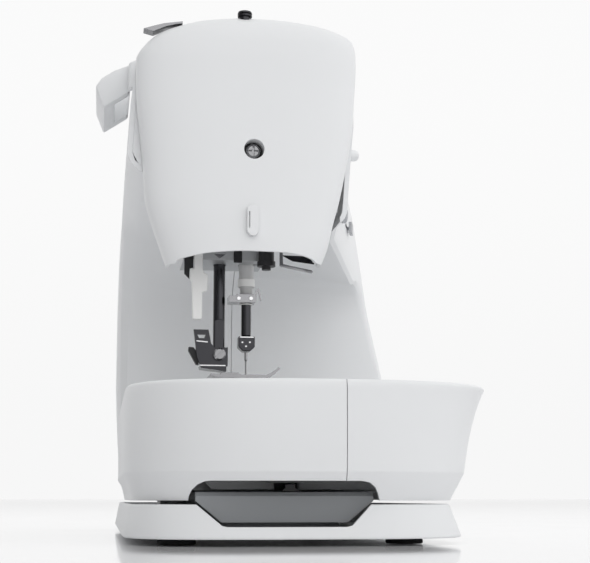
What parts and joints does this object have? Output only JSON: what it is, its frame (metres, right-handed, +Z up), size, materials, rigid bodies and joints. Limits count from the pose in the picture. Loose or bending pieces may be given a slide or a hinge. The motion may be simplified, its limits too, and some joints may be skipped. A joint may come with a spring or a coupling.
{
  "type": "sewing machine",
  "caption": "Free-arm household sewing machine with a bowed head cover, slide-off accessory box, handwheel, needle and presser mechanism and a low flared base.",
  "frame": {"origin": "centre of the bounding box's underside, on the surface the feet stand on", "axes": "+X from the needle end to the handwheel end, +Y from the sewer's side to the rear, +Z up"},
  "size_m": [0.4559, 0.2405, 0.326],
  "materials": {
    "shell_white": "satin moulded white ABS",
    "base_white": "satin moulded white ABS",
    "liner_grey": "fine-grained grey plastic",
    "lever_white": "white nylon",
    "sleeve_grey": "light grey acetal",
    "button_grey": "grey plastic",
    "dark_plastic": "black plastic",
    "clear_plastic": "clear moulded plastic",
    "display_glass": "dark glossy window",
    "board_green": "circuit board",
    "rubber_black": "matt black rubber",
    "cast_aluminium": "as-cast",
    "steel_brushed": "ground steel",
    "steel_dark": "dark motor can",
    "chrome": "bright chrome",
    "chrome_dark": "dark polished chrome"
  },
  "bodies": {
    "machine": {"base_tray": "base_white", "inner_base": "liner_grey", "box_catch": "dark_plastic", "foot_1": "rubber_black", "foot_2": "rubber_black", "foot_3": "rubber_black", "foot_4": "rubber_black", "front_cover": "shell_white", "rear_cover": "shell_white", "face_cover": "shell_white", "face_cover_screw": "chrome", "thread_cutter": "shell_white", "frame_casting": "cast_aluminium", "free_arm_cover": "shell_white", "needle_plate": "steel_brushed", "bobbin_case": "dark_plastic", "motor": "steel_dark", "drive_belt": "rubber_black", "control_board": "board_green", "display": "display_glass", "lamp": "dark_plastic", "front_thread_guide": "chrome", "rear_thread_guide": "chrome", "pretension_stud": "chrome_dark", "power_inlet": "dark_plastic", "pedal_jack": "dark_plastic", "buttonhole_bracket": "dark_plastic", "carrying_handle": "shell_white", "spool_tray": "liner_grey"},
    "drive": {"main_shaft": "steel_brushed", "handwheel": "shell_white"},
    "motor_rotor": {"motor_pulley": "steel_brushed"},
    "lower_drive": {"lower_shaft": "steel_brushed"},
    "hook": {"rotary_hook": "steel_brushed"},
    "bobbin_reel": {"bobbin": "clear_plastic"},
    "feed": {"feed_dogs": "steel_brushed"},
    "needle_slide": {"needle_bar": "chrome_dark", "needle_clamp": "chrome_dark", "needle": "chrome"},
    "clamp_thumb": {"clamp_screw": "chrome"},
    "threader": {"threader_sleeve": "sleeve_grey", "threader_head": "chrome"},
    "take_up": {"take_up_lever": "chrome"},
    "presser": {"presser_bar": "chrome_dark", "ankle": "chrome_dark"},
    "ankle_thumb": {"ankle_screw": "chrome"},
    "foot": {"presser_foot": "chrome"},
    "foot_release": {"release_lever": "dark_plastic"},
    "lifter": {"presser_lifter": "dark_plastic"},
    "buttonhole": {"buttonhole_lever": "lever_white"},
    "bobbin_lid": {"bobbin_cover": "clear_plastic"},
    "box": {"accessory_box": "shell_white"},
    "door": {"box_door": "shell_white"},
    "start": {"start_button": "button_grey"},
    "reverse": {"reverse_button": "button_grey"},
    "slider": {"speed_slider": "button_grey"},
    "knob": {"selector_knob": "shell_white"},
    "switch": {"power_switch": "dark_plastic"},
    "spool": {"spool_pin": "button_grey"},
    "winder": {"winder_spindle": "button_grey"}
  },
  "joints": [
    {"name": "handwheel_turn", "type": "hinge", "parent": "machine", "child": "drive", "pos_m": [0, 0.0208, 0.268], "axis": [1, 0, 0], "continuous": true},
    {"name": "motor_spin", "type": "hinge", "parent": "machine", "child": "motor_rotor", "pos_m": [0, -0.02, 0.08], "axis": [1, 0, 0], "continuous": true},
    {"name": "lower_shaft_spin", "type": "hinge", "parent": "machine", "child": "lower_drive", "pos_m": [0, 0.0043, 0.052], "axis": [1, 0, 0], "continuous": true},
    {"name": "hook_spin", "type": "hinge", "parent": "machine", "child": "hook", "pos_m": [-0.13, 0.0043, 0.057], "axis": [0, 0, 1], "continuous": true},
    {"name": "bobbin_spin", "type": "hinge", "parent": "machine", "child": "bobbin_reel", "pos_m": [-0.13, 0.0043, 0.066], "axis": [0, 0, 1], "continuous": true},
    {"name": "feed_lift", "type": "slide", "parent": "machine", "child": "feed", "axis": [0, 0, 1], "range_m": [-0.003, 0.0006]},
    {"name": "needle_bar_slide", "type": "slide", "parent": "machine", "child": "needle_slide", "axis": [0, 0, 1], "range_m": [-0.0125, 0.0175]},
    {"name": "clamp_screw_turn", "type": "hinge", "parent": "needle_slide", "child": "clamp_thumb", "pos_m": [-0.123, 0.0208, 0.1216], "axis": [1, 0, 0], "range_deg": [-180, 180]},
    {"name": "threader_slide", "type": "slide", "parent": "needle_slide", "child": "threader", "axis": [0, 0, 1], "range_m": [-0.015, 0], "stiffness_N_per_m": 60, "springref_m": 0.008},
    {"name": "take_up_swing", "type": "hinge", "parent": "machine", "child": "take_up", "pos_m": [-0.12, -0.006, 0.262], "axis": [1, 0, 0], "range_deg": [-29.5, 21]},
    {"name": "presser_lifter_turn", "type": "hinge", "parent": "machine", "child": "lifter", "pos_m": [-0.101, 0.049, 0.186], "axis": [1, 0, 0], "range_deg": [-36.5, 0]},
    {"name": "presser_slide", "type": "slide", "parent": "machine", "child": "presser", "axis": [0, 0, 1], "range_m": [-0.0068, 0]},
    {"name": "ankle_screw_turn", "type": "hinge", "parent": "presser", "child": "ankle_thumb", "pos_m": [-0.135, 0.0382, 0.1142], "axis": [1, 0, 0], "range_deg": [-180, 180]},
    {"name": "foot_tilt", "type": "hinge", "parent": "presser", "child": "foot", "pos_m": [-0.128, 0.032, 0.102], "axis": [1, 0, 0], "range_deg": [-4, 2]},
    {"name": "foot_release_turn", "type": "hinge", "parent": "presser", "child": "foot_release", "pos_m": [-0.128, 0.0514, 0.11], "axis": [1, 0, 0], "range_deg": [0, 14], "stiffness_Nm_per_rad": 0.02, "springref_deg": -5.73},
    {"name": "buttonhole_lever_slide", "type": "slide", "parent": "machine", "child": "buttonhole", "axis": [0, 0, 1], "range_m": [-0.034, 0]},
    {"name": "bobbin_cover_lift", "type": "slide", "parent": "machine", "child": "bobbin_lid", "axis": [0, 0, 1], "range_m": [0, 0.006]},
    {"name": "accessory_box_slide", "type": "slide", "parent": "machine", "child": "box", "axis": [-1, 0, 0], "range_m": [0, 0.25]},
    {"name": "box_door_swing", "type": "hinge", "parent": "box", "child": "door", "pos_m": [-0.2284, -0.025, 0.06], "axis": [0, 0, 1], "range_deg": [-100, 0]},
    {"name": "start_press", "type": "slide", "parent": "machine", "child": "start", "axis": [0, 1, 0], "range_m": [0, 0.0015], "stiffness_N_per_m": 400},
    {"name": "reverse_press", "type": "slide", "parent": "machine", "child": "reverse", "axis": [0, 1, 0], "range_m": [0, 0.0015], "stiffness_N_per_m": 400},
    {"name": "speed_slide", "type": "slide", "parent": "machine", "child": "slider", "axis": [0.9625, -0.2713, 0], "range_m": [-0.015, 0.015]},
    {"name": "selector_turn", "type": "hinge", "parent": "machine", "child": "knob", "pos_m": [-0.05, -0.06, 0.269], "axis": [0, 1, 0], "continuous": true},
    {"name": "power_switch_rock", "type": "hinge", "parent": "machine", "child": "switch", "pos_m": [0.203, 0.028, 0.069], "axis": [0, 1, 0], "range_deg": [-8, 8]},
    {"name": "spool_pin_tilt", "type": "hinge", "parent": "machine", "child": "spool", "pos_m": [0.02, 0.044, 0.308], "axis": [0, -1, 0], "range_deg": [0, 35]},
    {"name": "winder_spin", "type": "hinge", "parent": "machine", "child": "winder", "pos_m": [0.13, 0.044, 0.304], "axis": [0, 0, 1], "continuous": true}
  ],
  "couplings": [
    {"joint": "motor_spin", "follows": "handwheel_turn", "ratio": 3},
    {"joint": "lower_shaft_spin", "follows": "handwheel_turn", "ratio": 1},
    {"joint": "hook_spin", "follows": "handwheel_turn", "ratio": 2},
    {"joint": "take_up_swing", "follows": "needle_bar_slide", "rad_per_m": -29},
    {"joint": "presser_lifter_turn", "follows": "presser_slide", "rad_per_m": 92}
  ]
}
